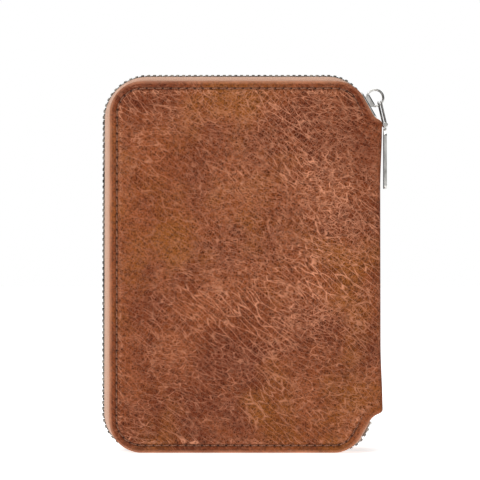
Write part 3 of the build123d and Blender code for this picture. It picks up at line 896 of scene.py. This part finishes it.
def wire_link():
    """Two strands bent over the ring, and an eye on the pin on each side of the tab."""
    low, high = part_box("pull_pin")
    pin = np.array((low + high) / 2) / MM
    lean = math.radians(13)
    down = np.array([math.sin(lean), 0, -math.cos(lean)])
    across = np.array([math.cos(lean), 0, math.sin(lean)])
    y = np.array([0, 1.0, 0])
    top = pin - down * 8.6
    leg_y, leg, bend_drop, wire = 0.95, 8.0, -0.2, 0.30
    pile = Pile()
    for offset in (-0.56, 0.56):
        leg_down = [leg, 5.0, 1.0, bend_drop]
        path = [(-leg_y, d) for d in leg_down]
        path += [(-leg_y * math.cos(a), bend_drop - leg_y * math.sin(a))
                 for a in np.linspace(0.2, math.pi - 0.2, 9)]
        path += [(leg_y, d) for d in reversed(leg_down)]
        strand = np.array([top + across * offset + y * py + down * d for py, d in path])
        pile.add(*tube(resampled(strand, 0.3), wire))
    for side in (-1, 1):
        eye = [pin + y * side * leg_y + 0.82 * (math.cos(a) * across + math.sin(a) * down)
               for a in np.linspace(0, 2 * math.pi, 29)]
        pile.add(*tube(eye, wire))
    obj = pile.finish("wire_link", NICKEL, "nickel")
    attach(obj, "link")
    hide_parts("pull_link")


# Nodes that keep their CAD shape

def dress(name, material, bevel=0.0):
    """Gives a CAD node its material and, where wanted, softened edges."""
    obj = NODES[name]
    obj.data.materials.clear()
    obj.data.materials.append(material)
    if bevel:
        weld = obj.modifiers.new("weld", "WELD")
        weld.merge_threshold = 1e-6
        soft = obj.modifiers.new("soft", "BEVEL")
        soft.width = bevel * MM
        soft.segments = 2
        soft.limit_method = "ANGLE"
        soft.angle_limit = math.radians(40)


def dress_nodes():
    for side in ("front", "back"):
        dress(f"{side}_board", BOARD)
        dress(f"{side}_lining", LINING)
    dress("spine_lining", LINING, 0.12)
    for name in ("front_slip_pocket", "back_slip_pocket", "passport_pocket",
                 *(f"card_slot_{i}" for i in range(1, 6))):
        dress(name, POCKET, 0.15)
    for name in ("pull_ring", "pull_pin", "top_stops", "bottom_stop"):
        dress(name, NICKEL)
    for name in ("slider_body", "slider_crown", "pull_blade"):
        dress(name, NICKEL, 0.12)


# Stage

def studio_light(tree):
    """White behind the object; light from above and the left, and less from the right."""
    background = tree.nodes["Background"]
    path = tree.nodes.new("ShaderNodeLightPath").outputs["Is Camera Ray"]
    axes = tree.nodes.new("ShaderNodeSeparateXYZ")
    tree.links.new(tree.nodes.new("ShaderNodeTexCoord").outputs["Generated"], axes.inputs[0])

    def ramp(source, a, b, c, d):
        node = tree.nodes.new("ShaderNodeMapRange")
        node.interpolation_type = "SMOOTHSTEP"
        tree.links.new(source, node.inputs[0])
        for k, value in enumerate((a, b, c, d)):
            node.inputs[k + 1].default_value = value
        return node.outputs[0]

    def combined(operation, a, b):
        node = tree.nodes.new("ShaderNodeMath")
        node.operation = operation
        tree.links.new(a, node.inputs[0])
        tree.links.new(b, node.inputs[1])
        return node.outputs[0]

    above = ramp(axes.outputs["Z"], -0.1, 0.8, 0.10, 0.85)
    side = ramp(axes.outputs["X"], -0.12, 0.32, 1.0, 0.03)
    front = ramp(axes.outputs["Y"], -0.99, -0.86, 0.80, 0.0)
    light = combined("MAXIMUM", combined("MAXIMUM", combined("MULTIPLY", above, side), front), path)
    tree.links.new(light, background.inputs[1])
    background.inputs[0].default_value = (1, 1, 1, 1)


def floor_plane():
    size, gap = 6.0, 0.0002
    mesh = bpy.data.meshes.new("floor")
    corners = [(-size, -size, 0), (size, -size, 0), (size, size, 0), (-size, size, 0)]
    mesh.from_pydata(corners, [], [(0, 1, 2, 3)])
    floor = bpy.data.objects.new("floor", mesh)
    bpy.context.scene.collection.objects.link(floor)
    floor.location.z = -gap
    pale = Shade("floor")
    tone = pale.mix(pale.noise(pale.object, 3, 2), (0.90, 0.90, 0.90), (0.94, 0.94, 0.94))
    floor.data.materials.append(pale.done(tone, 0.7, Specular_IOR_Level=0.1, Emission_Color=(1, 1, 1, 1),
                                          Emission_Strength=0.70))


def aimed(name, data, place, target):
    obj = bpy.data.objects.new(name, data)
    bpy.context.scene.collection.objects.link(obj)
    obj.location = place
    obj.rotation_euler = (Vector(target) - Vector(place)).to_track_quat("-Z", "Y").to_euler()
    return obj


def area_light(name, place, target, size, power):
    data = bpy.data.lights.new(name, "AREA")
    data.shape = "RECTANGLE"
    data.size, data.size_y = size
    data.energy = power
    aimed(name, data, place, target)


def stage_set():
    world = bpy.data.worlds.new("studio")
    bpy.context.scene.world = world
    world.use_nodes = True
    studio_light(world.node_tree)
    floor_plane()
    area_light("key", (-0.35, -0.55, 0.75), (0, 0, 0.08), (0.5, 0.4), 2.0)
    area_light("top", (0.05, 0.05, 0.8), (0, 0, 0.1), (0.6, 0.6), 2.6)

    camera = bpy.data.cameras.new("camera")
    camera.sensor_width = 36
    camera.lens = 113.2
    camera.dof.use_dof = False
    camera_x = -0.0023
    eye = aimed("camera", camera, (camera_x, -0.612, 0.072), (camera_x, -0.012, 0.0845))
    bpy.context.scene.camera = eye
    bpy.context.scene.view_settings.view_transform = "Standard"


front_hide = hide_half(False)
back_hide = hide_half(True)
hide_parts("front_leather", "spine_leather")
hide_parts("back_leather")
cover_stitches(False)
cover_stitches(True)
zip_pieces()
wire_link()
dress_nodes()
stage_set()
